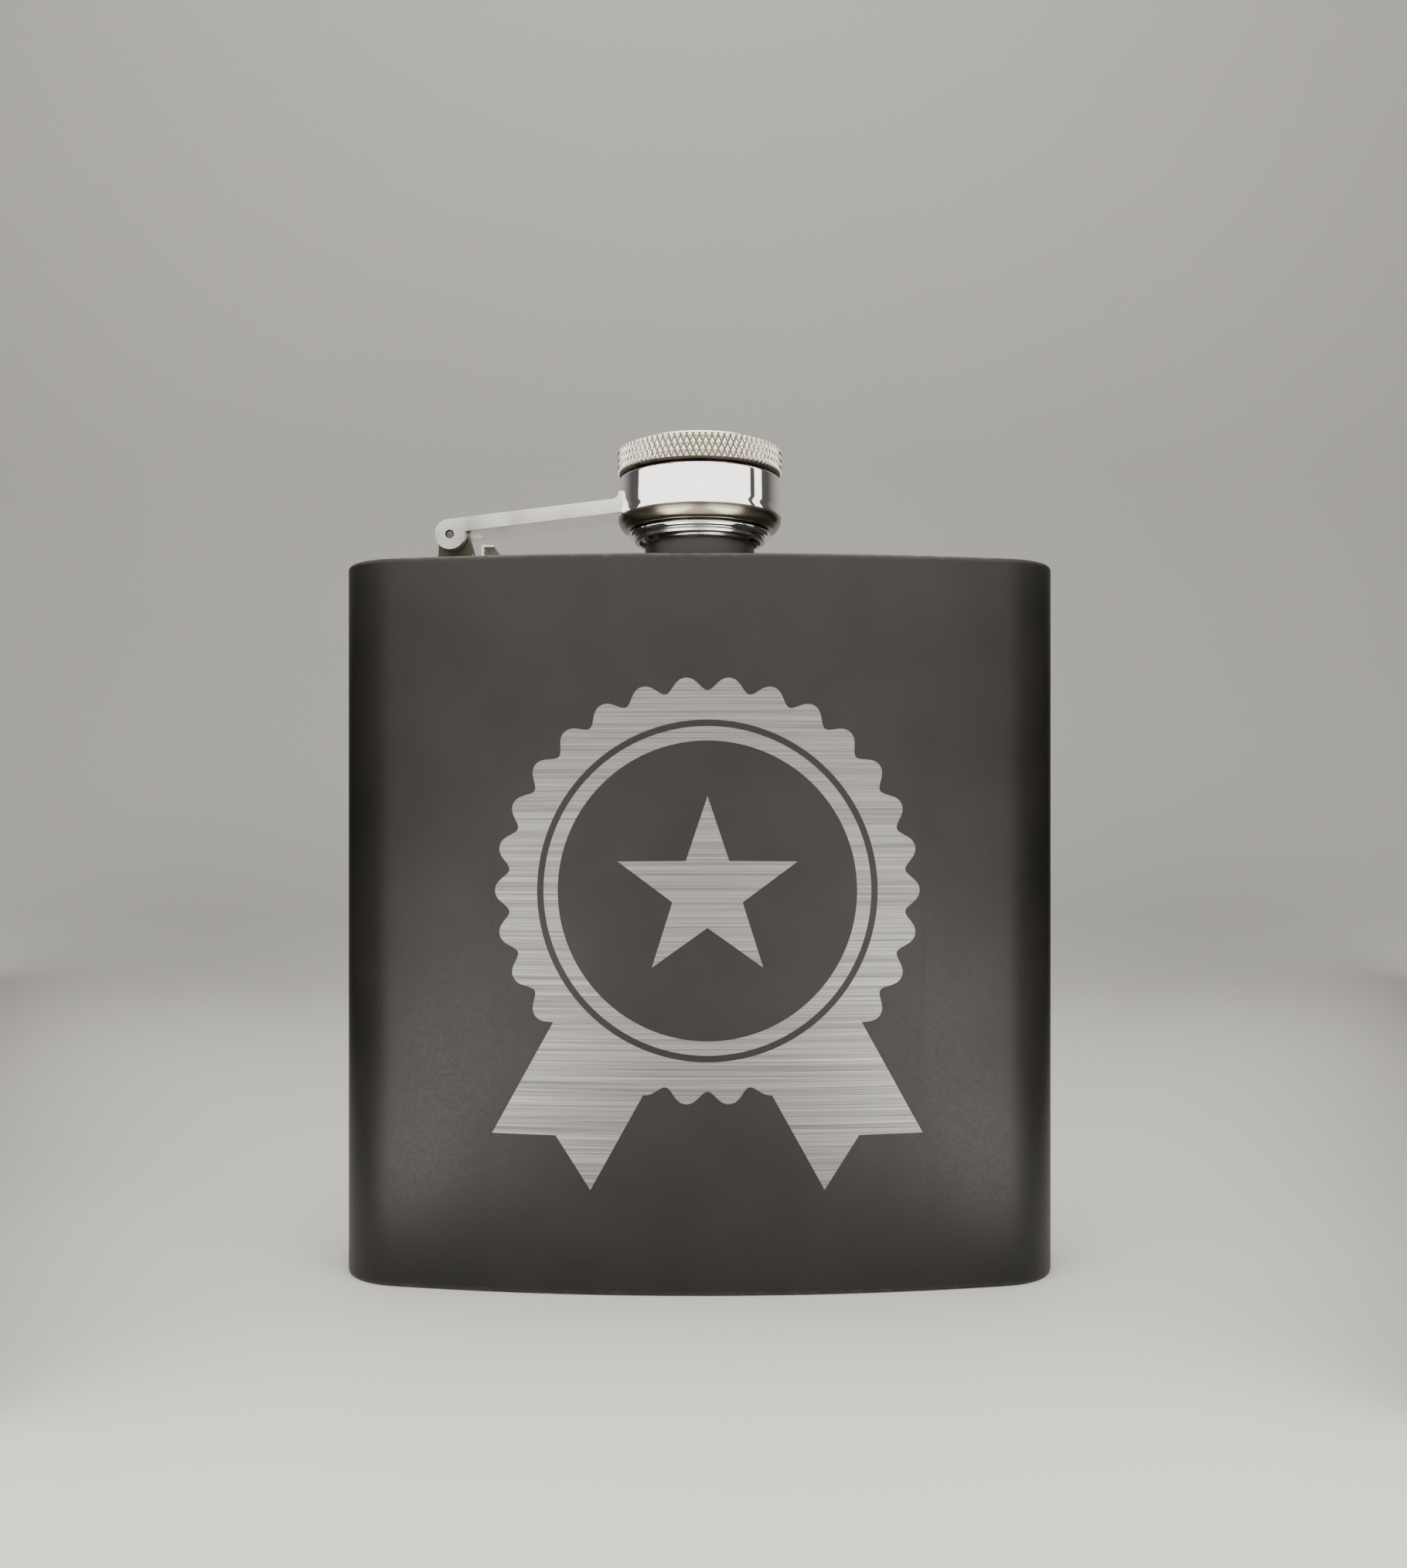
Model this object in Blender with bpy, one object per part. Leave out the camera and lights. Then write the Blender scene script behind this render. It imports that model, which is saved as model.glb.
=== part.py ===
"""Curved steel hip flask with a hinged, captive screw cap.

Metres, +Z up. The origin is under the middle of the flask, on the surface it stands on.
The convex face looks towards -Y, the concave hip side towards +Y, and the hinge is at -X.
"""
import math

import bmesh
import bpy
import numpy as np

# Body: a sheet wrapped into a kidney-shaped tube, closed by two pressed plates.
BODY_WIDTH = 0.093
BODY_HEIGHT = 0.0925
BODY_THICKNESS = 0.022
FRONT_RADIUS = 0.205
CORNER_RADIUS = 0.009
WALL = 0.0006
RIM_ROUND = 0.0005
PLATE_THICKNESS = 0.0008
PLATE_GAP = 0.00006

# Neck: a threaded tube, flanged under the top plate. Heights are above the top plate.
NECK_RADIUS = 0.0072
NECK_BORE = 0.0049
NECK_FLANGE_RADIUS = 0.0088
NECK_FLANGE_THICKNESS = 0.0007
NECK_SHOULDER = 0.0029
NECK_TOP = 0.010
MALE_CREST = 0.0067
THREAD_DEPTH = 0.0006
THREAD_PITCH = 0.0018
THREAD_SWING_ROOM = 0.0006
NECK_CLEARANCE = 0.0001
THREAD_START = 0.0004
THREAD_END = 0.0006
TURNED_CHAMFER = 0.0003
FINE_CHAMFER = 0.0002

# Cap: knurled head, threaded sleeve, gasket, and the ring that keeps the collar on.
HEAD_RADIUS = 0.0108
HEAD_BOTTOM = 0.0119
HEAD_TOP = 0.01535
HEAD_ROUND = 0.0003
HEAD_ROUND_START = 0.25
HEAD_CHAMFER = 0.0002
HEAD_FIT = 0.0001
KNURL_COUNT = 42
KNURL_DEPTH = 0.0003
KNURL_ROWS = 6
KNURL_LEAN = math.radians(22)
SLEEVE_RADIUS = 0.0086
SLEEVE_BOTTOM = 0.0032
SLEEVE_TOP = 0.0146
SLEEVE_ROOF = 0.0114
GROOVE_DEPTH = 0.00025
GASKET_RADIUS = 0.0078
GASKET_BOTTOM = 0.0101
GASKET_TOP = 0.0113
BEAD_HEIGHT = 0.0002
BEAD_SLOPE = 0.0004
RING_BOTTOM = 0.0038
RING_TOP = 0.00458
RING_RADIUS = 0.00935
RING_FIT = 0.00007
SOLID_CORE = 0.002

# Collar: the polished band on the arm's end, in which the cap turns.
COLLAR_BORE = 0.0089
COLLAR_RADIUS = 0.0106
COLLAR_LIP_RADIUS = 0.01075
COLLAR_BOTTOM = 0.00466
COLLAR_LIP = 0.00645
COLLAR_FLARE = 0.0012
COLLAR_TOP = 0.01155
COLLAR_FOOT_RADIUS = 0.00955
COLLAR_ROUND = 0.0004

# Hinge: bracket on the plate, pin, and an arm whose end forks into two eyes.
PIN_X = -0.0324
PIN_HEIGHT = 0.0038
PIN_RADIUS = 0.00052
PIN_LENGTH = 0.0066
EYE_RADIUS = 0.00195
EYE_BORE = 0.00058
ARM_WIDTH = 0.007
ARM_UNDERSIDE = 0.00015
ARM_SLOPE = math.radians(7)
ARM_FILLET = 0.0009
ARM_GAP = 0.00016
FORK_SLOT = 0.0029
FORK_REACH = 0.0035
BRACKET_SHEET = 0.0006
BRACKET_WIDTH = 0.006
BRACKET_LEFT = -0.0362
BRACKET_RIGHT = -0.028
BRACKET_FOOT = -0.0293
TAB_TOP = 0.0025
TAB_REACH = 0.0013
TAB_SHEET = 0.00035
KNUCKLE_WIDTH = 0.0026
KNUCKLE_START = math.radians(15)
KNUCKLE_STOP = math.radians(200)
CUTTER_LENGTH = 0.02

# Facets.
FRONT_STEPS = 28
CORNER_STEPS = 8
TURN_STEPS = 48
THREAD_STEPS = 40
THREAD_ROWS = 20
EYE_STEPS = 24
CURL_STEPS = 4

BACK_RADIUS = FRONT_RADIUS - BODY_THICKNESS
CORNER_ANGLE = math.asin((BODY_WIDTH / 2 - CORNER_RADIUS) / (FRONT_RADIUS - CORNER_RADIUS))
BEND_Y = (FRONT_RADIUS + (BACK_RADIUS + CORNER_RADIUS) * math.cos(CORNER_ANGLE) - CORNER_RADIUS) / 2
NECK_Y = BEND_Y - FRONT_RADIUS + BODY_THICKNESS / 2
PIN_Z = BODY_HEIGHT + PIN_HEIGHT


def clear_scene():
    for item in list(bpy.data.objects):
        bpy.data.objects.remove(item, do_unlink=True)


def material(name, color, roughness, metallic):
    result = bpy.data.materials.new(name)
    result.use_nodes = True
    shader = result.node_tree.nodes["Principled BSDF"]
    shader.inputs["Base Color"].default_value = (*color, 1)
    shader.inputs["Roughness"].default_value = roughness
    shader.inputs["Metallic"].default_value = metallic
    return result


def add_object(name, vertices, faces, finish, smooth_angle=35):
    mesh = bpy.data.meshes.new(name)
    mesh.from_pydata([tuple(point) for point in vertices], [], faces)
    mesh.validate()
    item = bpy.data.objects.new(name, mesh)
    bpy.context.scene.collection.objects.link(item)
    mesh.materials.append(finish)
    mesh.shade_smooth()
    mesh.set_sharp_from_angle(angle=math.radians(smooth_angle))
    return item


def place(item, x, y, z):
    """Move an object's origin to a point without moving its surface."""
    offset = np.array((x, y, z))
    for vertex in item.data.vertices:
        vertex.co = np.array(vertex.co) - offset
    item.location = (x, y, z)


def arc(radius, start, stop, steps):
    """Points of an arc about the origin, from one angle to another, both ends included."""
    angles = np.linspace(start, stop, steps + 1)
    return np.column_stack((radius * np.cos(angles), radius * np.sin(angles)))


def kidney(inset):
    """The body's outline, drawn in by a distance: four corner arcs between two bend arcs.

    Every arc keeps its own centre, so outlines at different insets are parallel.
    The loop runs anticlockwise from the left end of the convex front.
    """
    front, back = FRONT_RADIUS - inset, BACK_RADIUS + inset
    corner = CORNER_RADIUS - inset
    down = -math.pi / 2
    centre = np.array((0, BEND_Y))

    def corner_centre(radius, side):
        angle = down + side * CORNER_ANGLE
        return centre + radius * np.array((math.cos(angle), math.sin(angle)))

    outer, inner = FRONT_RADIUS - CORNER_RADIUS, BACK_RADIUS + CORNER_RADIUS
    tilt = CORNER_ANGLE
    parts = (
        centre + arc(front, down - tilt, down + tilt, FRONT_STEPS),
        corner_centre(outer, 1) + arc(corner, down + tilt, tilt, CORNER_STEPS)[1:],
        corner_centre(inner, 1) + arc(corner, tilt, math.pi / 2 + tilt, CORNER_STEPS),
        centre + arc(back, down + tilt, down - tilt, FRONT_STEPS)[1:],
        corner_centre(inner, -1) + arc(corner, math.pi / 2 - tilt, math.pi - tilt, CORNER_STEPS)[1:],
        corner_centre(outer, -1) + arc(corner, math.pi - tilt, 1.5 * math.pi - tilt, CORNER_STEPS)[:-1],
    )
    return np.vstack(parts)


def grid_faces(rows, columns, close_rows):
    """Quads over a grid of rings. Columns always close; rows close on a tube's own wall."""
    faces = []
    for row in range(rows if close_rows else rows - 1):
        above = (row + 1) % rows
        for column in range(columns):
            right = (column + 1) % columns
            faces.append((row * columns + column, row * columns + right,
                          above * columns + right, above * columns + column))
    return faces


def carried_profile(profile):
    """A closed (inset, height) profile carried round the kidney outline."""
    loops = []
    for inset, height in profile:
        outline = kidney(inset)
        loops.append(np.column_stack((outline, np.full(len(outline), height))))
    return np.vstack(loops), grid_faces(len(loops), len(loops[0]), True)


def turned(profile, steps, radius_rule=None):
    """A closed (radius, height) profile turned about the neck's axis.

    The profile runs up its outer side. radius_rule may change a ring's radius with angle.
    """
    angles = np.linspace(0, 2 * math.pi, steps, endpoint=False)
    rings = []
    for radius, height in profile:
        radii = np.full(steps, radius)
        if radius_rule:
            radii = radius_rule(radii, angles, height)
        rings.append(np.column_stack((radii * np.cos(angles), NECK_Y + radii * np.sin(angles),
                                      np.full(steps, BODY_HEIGHT + height))))
    return np.vstack(rings), grid_faces(len(rings), steps, True)


def turned_solid(profile, steps, radius_rule=None):
    """As turned, for a piece that reaches the axis: flat caps close the first and last rings."""
    vertices, faces = turned(profile, steps, radius_rule)
    rings = len(profile)
    faces = faces[:(rings - 1) * steps]
    faces.append(tuple(reversed(range(steps))))
    faces.append(tuple(range((rings - 1) * steps, rings * steps)))
    return vertices, faces


def rounded_corner(radius, height, size, start, stop, steps=4):
    """Profile points of a rounded corner whose arc centre is (radius, height)."""
    return [(radius + x, height + z) for x, z in arc(size, start, stop, steps)]


def extruded(outline, width, name, finish):
    """An (x, height) outline, given anticlockwise, pulled to a width along Y about the neck's plane."""
    count = len(outline)
    near = [(x, NECK_Y - width / 2, z) for x, z in outline]
    far = [(x, NECK_Y + width / 2, z) for x, z in outline]
    faces = [tuple(range(count)), tuple(reversed(range(count, 2 * count)))]
    for step in range(count):
        after = (step + 1) % count
        faces.append((after, step, count + step, count + after))
    return add_object(name, near + far, faces, finish)


def guide(item):
    item.hide_render = True
    item.display_type = "WIRE"
    return item


def boolean(item, other, operation):
    modifier = item.modifiers.new(operation.title(), "BOOLEAN")
    modifier.operation = operation
    modifier.solver = "EXACT"
    modifier.object = guide(other)


def cylinder(name, radius, height, axis, centre, finish, steps=TURN_STEPS):
    """A plain cylinder along Y or Z, centred on a point."""
    mesh = bpy.data.meshes.new(name)
    builder = bmesh.new()
    bmesh.ops.create_cone(builder, cap_ends=True, segments=steps, radius1=radius, radius2=radius, depth=height)
    if axis == "Y":
        quarter = np.array(((1, 0, 0), (0, 0, -1), (0, 1, 0)))
        for vertex in builder.verts:
            vertex.co = quarter @ np.array(vertex.co)
    builder.to_mesh(mesh)
    builder.free()
    item = bpy.data.objects.new(name, mesh)
    item.location = centre
    bpy.context.scene.collection.objects.link(item)
    mesh.materials.append(finish)
    mesh.shade_smooth()
    mesh.set_sharp_from_angle(angle=math.radians(35))
    return item


def thread_rule(crest, inward, low, high):
    """Radius of a round-topped helical thread, which fades in and out at its two ends."""
    def rule(radii, angles, height):
        if not low < height < high:
            return radii
        phase = (height / THREAD_PITCH - angles / (2 * math.pi)) * 2 * math.pi
        ridge = 0.5 + 0.5 * np.cos(phase)
        fade = min(1, (height - low) / THREAD_PITCH, (high - height) / THREAD_PITCH)
        depth = THREAD_DEPTH * (1 - ridge * fade)
        return crest + depth if inward else crest - depth
    return rule


def body_wrap(finish):
    top = BODY_HEIGHT
    rim = RIM_ROUND
    halfway = rim * (1 - math.sqrt(0.5))
    profile = [(0, rim)]
    profile += [(0, top - rim), (halfway, top - halfway), (rim, top)]
    profile += [(WALL, top), (WALL, 0), (rim, 0), (halfway, halfway)]
    vertices, faces = carried_profile(profile)
    return add_object("body_wrap", vertices, faces, finish)


def base_plate(finish):
    outline = kidney(WALL + PLATE_GAP)
    count = len(outline)
    low = np.column_stack((outline, np.zeros(count)))
    high = np.column_stack((outline, np.full(count, PLATE_THICKNESS)))
    faces = grid_faces(2, count, False)
    faces.append(tuple(reversed(range(count))))
    faces.append(tuple(range(count, 2 * count)))
    return add_object("base_plate", np.vstack((low, high)), faces, finish)


def top_plate(finish):
    """The plate between the kidney outline and the neck's hole, matched by bearing from the neck."""
    outline = kidney(WALL + PLATE_GAP)
    bearing = np.arctan2(outline[:, 1] - NECK_Y, outline[:, 0])
    hole_radius = NECK_RADIUS + NECK_CLEARANCE
    hole = np.column_stack((hole_radius * np.cos(bearing), NECK_Y + hole_radius * np.sin(bearing)))
    low, high = BODY_HEIGHT - PLATE_THICKNESS, BODY_HEIGHT
    loops = [np.column_stack((edge, np.full(len(edge), height)))
             for edge, height in ((outline, low), (outline, high), (hole, high), (hole, low))]
    return add_object("top_plate", np.vstack(loops), grid_faces(4, len(outline), True), finish)


def neck(finish):
    flange_top = -PLATE_THICKNESS - NECK_CLEARANCE
    flange_bottom = flange_top - NECK_FLANGE_THICKNESS
    thread_low, thread_high = NECK_SHOULDER + THREAD_START, NECK_TOP - THREAD_END
    root = MALE_CREST - THREAD_DEPTH
    profile = [(NECK_FLANGE_RADIUS, flange_bottom), (NECK_FLANGE_RADIUS, flange_top)]
    profile += [(NECK_RADIUS, flange_top), (NECK_RADIUS, NECK_SHOULDER - TURNED_CHAMFER)]
    profile += [(NECK_RADIUS - TURNED_CHAMFER, NECK_SHOULDER), (root, NECK_SHOULDER)]
    profile += [(root, height) for height in np.linspace(thread_low, thread_high, THREAD_ROWS)]
    profile += [(root, NECK_TOP - TURNED_CHAMFER), (root - TURNED_CHAMFER, NECK_TOP)]
    profile += [(NECK_BORE + FINE_CHAMFER, NECK_TOP), (NECK_BORE, NECK_TOP - FINE_CHAMFER)]
    profile += [(NECK_BORE, flange_bottom)]
    rule = thread_rule(MALE_CREST, False, thread_low, thread_high)

    def outside_only(radii, angles, height):
        return rule(radii, angles, height) if radii[0] == root else radii

    vertices, faces = turned(profile, THREAD_STEPS, outside_only)
    return add_object("neck", vertices, faces, finish)


def cap_sleeve(finish):
    """The threaded sleeve: thread and gasket seat inside, ring groove outside, plug on top."""
    crest = MALE_CREST + THREAD_SWING_ROOM
    root = crest + THREAD_DEPTH
    thread_low, thread_high = SLEEVE_BOTTOM + TURNED_CHAMFER, GASKET_BOTTOM - FINE_CHAMFER
    groove_low, groove_high = RING_BOTTOM - RING_FIT, RING_TOP + RING_FIT
    groove = SLEEVE_RADIUS - GROOVE_DEPTH
    profile = [(SOLID_CORE, SLEEVE_ROOF), (root, SLEEVE_ROOF)]
    profile += [(root, height) for height in np.linspace(thread_high, thread_low, THREAD_ROWS)]
    profile += [(root, SLEEVE_BOTTOM), (SLEEVE_RADIUS, SLEEVE_BOTTOM)]
    profile += [(SLEEVE_RADIUS, groove_low), (groove, groove_low), (groove, groove_high)]
    profile += [(SLEEVE_RADIUS, groove_high), (SLEEVE_RADIUS, SLEEVE_TOP - TURNED_CHAMFER)]
    profile += [(SLEEVE_RADIUS - TURNED_CHAMFER, SLEEVE_TOP), (SOLID_CORE, SLEEVE_TOP)]
    rule = thread_rule(crest, True, thread_low, thread_high)

    def inside_only(radii, angles, height):
        return rule(radii, angles, height) if radii[0] == root else radii

    vertices, faces = turned_solid(profile, THREAD_STEPS, inside_only)
    return add_object("cap_sleeve", vertices, faces, finish)


def cap_gasket(finish):
    """A gasket disc with a raised sealing bead where the neck's rim meets it."""
    bead = NECK_BORE - FINE_CHAMFER
    recess = GASKET_BOTTOM + BEAD_HEIGHT
    profile = [(SOLID_CORE, recess), (bead - BEAD_SLOPE, recess)]
    profile += [(bead, GASKET_BOTTOM), (GASKET_RADIUS, GASKET_BOTTOM)]
    profile += [(GASKET_RADIUS, GASKET_TOP), (SOLID_CORE, GASKET_TOP)]
    vertices, faces = turned_solid(profile, THREAD_STEPS)
    return add_object("cap_gasket", vertices, faces, finish)


def cap_head(finish):
    """The knurled head: a diamond pattern from two crossing sets of grooves."""
    low, high = HEAD_BOTTOM + HEAD_CHAMFER, HEAD_TOP - HEAD_ROUND
    lean = math.tan(KNURL_LEAN) / HEAD_RADIUS

    def knurl(radii, angles, height):
        if not low <= height <= high or radii[0] < HEAD_RADIUS:
            return radii
        turn = lean * (height - low)
        one = np.abs(np.cos(KNURL_COUNT / 2 * (angles + turn)))
        other = np.abs(np.cos(KNURL_COUNT / 2 * (angles - turn)))
        return radii - KNURL_DEPTH * (1 - np.minimum(one, other))

    cavity, roof = SLEEVE_RADIUS + HEAD_FIT, SLEEVE_TOP + HEAD_FIT
    profile = [(SOLID_CORE, roof), (cavity, roof), (cavity, HEAD_BOTTOM)]
    profile += [(HEAD_RADIUS - KNURL_DEPTH - HEAD_CHAMFER, HEAD_BOTTOM)]
    profile += [(HEAD_RADIUS, height) for height in np.linspace(low, high, KNURL_ROWS)]
    profile += rounded_corner(HEAD_RADIUS - KNURL_DEPTH - HEAD_ROUND, high, HEAD_ROUND,
                              HEAD_ROUND_START, math.pi / 2)
    profile += [(SOLID_CORE, HEAD_TOP)]
    vertices, faces = turned_solid(profile, 2 * KNURL_COUNT, knurl)
    return add_object("cap_head", vertices, faces, finish)


def cap_collar(finish):
    """The polished band: round top edge, a slight flare to its lip, and a lower face curved in to the foot."""
    rise = COLLAR_LIP - COLLAR_BOTTOM
    reach = COLLAR_LIP_RADIUS - COLLAR_FOOT_RADIUS
    profile = [(COLLAR_BORE, COLLAR_TOP), (COLLAR_BORE, COLLAR_BOTTOM)]
    for angle in np.linspace(-math.pi / 2, 0, CURL_STEPS + 1):
        profile.append((COLLAR_FOOT_RADIUS + reach * math.cos(angle), COLLAR_LIP + rise * math.sin(angle)))
    profile += [(COLLAR_RADIUS, COLLAR_LIP + COLLAR_FLARE)]
    profile += rounded_corner(COLLAR_RADIUS - COLLAR_ROUND, COLLAR_TOP - COLLAR_ROUND, COLLAR_ROUND,
                              0, math.pi / 2)
    vertices, faces = turned(profile, TURN_STEPS)
    return add_object("cap_collar", vertices, faces, finish)


def collar_ring(finish):
    """The half-round ring in the sleeve's groove, under the collar."""
    inner = SLEEVE_RADIUS - GROOVE_DEPTH + RING_FIT
    middle = (RING_BOTTOM + RING_TOP) / 2
    half = (RING_TOP - RING_BOTTOM) / 2
    profile = [(inner, RING_TOP), (inner, RING_BOTTOM)]
    profile += rounded_corner(RING_RADIUS - half, middle, half, -math.pi / 2, math.pi / 2)
    vertices, faces = turned(profile, TURN_STEPS)
    return add_object("collar_ring", vertices, faces, finish)


def hinge_pin(finish):
    return cylinder("hinge_pin", PIN_RADIUS, PIN_LENGTH, "Y", (PIN_X, NECK_Y, PIN_Z), finish, EYE_STEPS)


def arm_outline():
    """The strap in profile, before its slope: a round end that the strap leaves along the top."""
    length = -PIN_X
    start = math.pi / 2
    stop = 2 * math.pi + math.asin(ARM_UNDERSIDE / EYE_RADIUS)
    eye = arc(EYE_RADIUS, start, stop, EYE_STEPS)
    flare_end = length - math.sqrt(COLLAR_RADIUS ** 2 - (ARM_WIDTH / 2) ** 2)
    centre = np.array((flare_end - ARM_FILLET, EYE_RADIUS + ARM_FILLET))
    fillet = centre + arc(ARM_FILLET, -math.pi / 2, 0, 5)
    over = length - COLLAR_BORE
    tip = np.array(((over, ARM_UNDERSIDE), (over, EYE_RADIUS + ARM_FILLET)))
    return np.vstack((eye, tip, fillet[::-1]))


def hinge_arm(finish):
    """The forked arm, bored for the pin, tilted up to the collar and cut to its round."""
    loop = arm_outline()
    turn = np.array(((math.cos(ARM_SLOPE), -math.sin(ARM_SLOPE)), (math.sin(ARM_SLOPE), math.cos(ARM_SLOPE))))
    loop = loop @ turn.T + np.array((PIN_X, PIN_Z))
    arm = extruded(loop, ARM_WIDTH, "hinge_arm", finish)
    slot_length = 2 * FORK_REACH
    slot = extruded(((PIN_X - FORK_REACH, PIN_Z - slot_length), (PIN_X + FORK_REACH, PIN_Z - slot_length),
                     (PIN_X + FORK_REACH, PIN_Z + slot_length), (PIN_X - FORK_REACH, PIN_Z + slot_length)),
                    FORK_SLOT, "fork_cutter", finish)
    boolean(arm, slot, "DIFFERENCE")
    collar = cylinder("collar_cutter", COLLAR_RADIUS + ARM_GAP, CUTTER_LENGTH, "Z",
                      (0, NECK_Y, BODY_HEIGHT + COLLAR_TOP), finish)
    boolean(arm, collar, "DIFFERENCE")
    bore = cylinder("eye_cutter", EYE_BORE, CUTTER_LENGTH, "Y", (PIN_X, NECK_Y, PIN_Z), finish, EYE_STEPS)
    boolean(arm, bore, "DIFFERENCE")
    place(arm, PIN_X, NECK_Y, PIN_Z)
    return arm


def hinge_bracket(finish):
    """A welded sheet foot with a turned-up stop tab, and the middle knuckle that holds the pin."""
    low = BODY_HEIGHT + PLATE_GAP
    high = low + BRACKET_SHEET
    tab_top = BODY_HEIGHT + TAB_TOP
    leg = BRACKET_RIGHT - TAB_SHEET
    tip = BRACKET_RIGHT + TAB_REACH
    sheet = extruded(((BRACKET_LEFT, low), (BRACKET_RIGHT, low), (BRACKET_RIGHT, tab_top - TAB_SHEET),
                      (tip, tab_top - TAB_SHEET), (tip, tab_top), (leg, tab_top), (leg, high),
                      (BRACKET_LEFT, high)), BRACKET_WIDTH, "hinge_bracket", finish)
    eye = arc(EYE_RADIUS, KNUCKLE_START, KNUCKLE_STOP, EYE_STEPS) + np.array((PIN_X, PIN_Z))
    foot = np.array(((PIN_X - EYE_RADIUS, high - BRACKET_SHEET / 2), (BRACKET_FOOT, high - BRACKET_SHEET / 2)))
    knuckle = extruded(np.vstack((eye, foot)), KNUCKLE_WIDTH, "knuckle_guide", finish)
    boolean(sheet, knuckle, "UNION")
    bore = cylinder("bore_cutter", EYE_BORE, 2 * KNUCKLE_WIDTH, "Y", (PIN_X, NECK_Y, PIN_Z), finish, EYE_STEPS)
    boolean(sheet, bore, "DIFFERENCE")
    return sheet


def build():
    clear_scene()
    coat = material("black_powder_coat", (0.02, 0.019, 0.018), 0.55, 0.0)
    steel = material("brushed_steel", (0.62, 0.61, 0.58), 0.3, 1.0)
    polish = material("polished_steel", (0.75, 0.74, 0.71), 0.08, 1.0)
    silicone = material("grey_silicone", (0.35, 0.35, 0.36), 0.6, 0.0)
    for shape in (body_wrap, base_plate, top_plate, neck):
        shape(coat)
    hinge_bracket(steel)
    hinge_pin(steel)
    arm = hinge_arm(polish)
    moving = [cap_collar(polish)]
    moving += [cap_head(steel), cap_sleeve(steel), collar_ring(polish), cap_gasket(silicone)]
    arm_axis = bpy.data.objects.new("arm_axis", None)
    arm_axis.location = (PIN_X, NECK_Y, PIN_Z)
    cap_axis = bpy.data.objects.new("cap_axis", None)
    cap_axis.location = (-PIN_X, 0, BODY_HEIGHT - PIN_Z)
    cap_axis.parent = arm_axis
    for axis in (arm_axis, cap_axis):
        bpy.context.scene.collection.objects.link(axis)
    arm.location = (0, 0, 0)
    arm.parent = arm_axis
    for item in moving:
        place(item, 0, NECK_Y, BODY_HEIGHT)
        item.location = (0, 0, 0)
        item.parent = cap_axis


build()
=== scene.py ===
import math

import bmesh
import bpy
import numpy as np
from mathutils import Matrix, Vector, geometry


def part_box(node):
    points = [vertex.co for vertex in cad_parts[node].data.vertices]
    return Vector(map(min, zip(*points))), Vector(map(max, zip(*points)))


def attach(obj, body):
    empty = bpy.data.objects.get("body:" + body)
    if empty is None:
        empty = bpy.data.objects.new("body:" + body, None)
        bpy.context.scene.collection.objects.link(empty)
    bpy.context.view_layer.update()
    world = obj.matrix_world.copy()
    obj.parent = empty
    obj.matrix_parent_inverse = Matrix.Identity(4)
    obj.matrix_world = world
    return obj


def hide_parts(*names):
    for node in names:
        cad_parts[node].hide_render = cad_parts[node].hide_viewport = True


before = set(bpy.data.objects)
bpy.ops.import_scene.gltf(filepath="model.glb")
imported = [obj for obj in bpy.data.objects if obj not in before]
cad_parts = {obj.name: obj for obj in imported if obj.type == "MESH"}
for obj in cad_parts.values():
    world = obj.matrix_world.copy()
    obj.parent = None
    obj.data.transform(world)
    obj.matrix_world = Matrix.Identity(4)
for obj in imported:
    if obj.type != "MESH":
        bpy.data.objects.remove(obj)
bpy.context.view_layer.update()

# Places come from the CAD nodes: the body's box, the neck's axis, the plate's top and the pin.
wrapLow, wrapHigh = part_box("body_wrap")
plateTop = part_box("top_plate")[1].z
neckLow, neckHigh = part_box("neck")
neckAxis = np.array(((neckLow.x + neckHigh.x) / 2, (neckLow.y + neckHigh.y) / 2))
pinLow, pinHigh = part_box("hinge_pin")
pinCentre = np.array((pinLow + pinHigh) / 2)

bodyShape = {
    "frontRadius": 0.205,
    "thickness": 0.022,
    "cornerRadius": 0.009,
    "wall": 0.0006,
    "rimRound": 0.0005,
    "frontSteps": 72,
    "cornerSteps": 20,
    "rimSteps": 5,
}
width = wrapHigh.x - wrapLow.x
backRadius = bodyShape["frontRadius"] - bodyShape["thickness"]
cornerAngle = math.asin((width / 2 - bodyShape["cornerRadius"])
                        / (bodyShape["frontRadius"] - bodyShape["cornerRadius"]))
bendCentre = np.array((0.0, wrapLow.y + bodyShape["frontRadius"]))


def arcPoints(radius, start, stop, steps, centre=(0, 0)):
    angles = np.linspace(start, stop, steps + 1)  # an arc about its centre, both ends included
    return np.array(centre) + radius * np.column_stack((np.cos(angles), np.sin(angles)))


def gridFaces(rows, columns, closeRows):
    # quads of a grid whose columns close into rings; its rows close too, where a wall returns to its start
    row = np.arange(rows if closeRows else rows - 1)[:, None]
    column = np.arange(columns)[None, :]
    above, right = (row + 1) % rows, (column + 1) % columns
    corners = (row * columns + column, row * columns + right,
               above * columns + right, above * columns + column)
    return np.stack(np.broadcast_arrays(*corners), axis=-1).reshape(-1, 4)


def closedFaces(rows, columns):
    # the grid's quads between its rings, with the first and last ring each closed by one flat face
    last = (rows - 1) * columns
    caps = [list(range(columns))[::-1], list(range(last, last + columns))]
    return gridFaces(rows, columns, False).tolist() + caps


def shaded(mesh, sharp=32):
    # smooth but for the edges that turn more than the sharp angle
    mesh.shade_smooth()
    mesh.set_sharp_from_angle(angle=math.radians(sharp))


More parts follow.
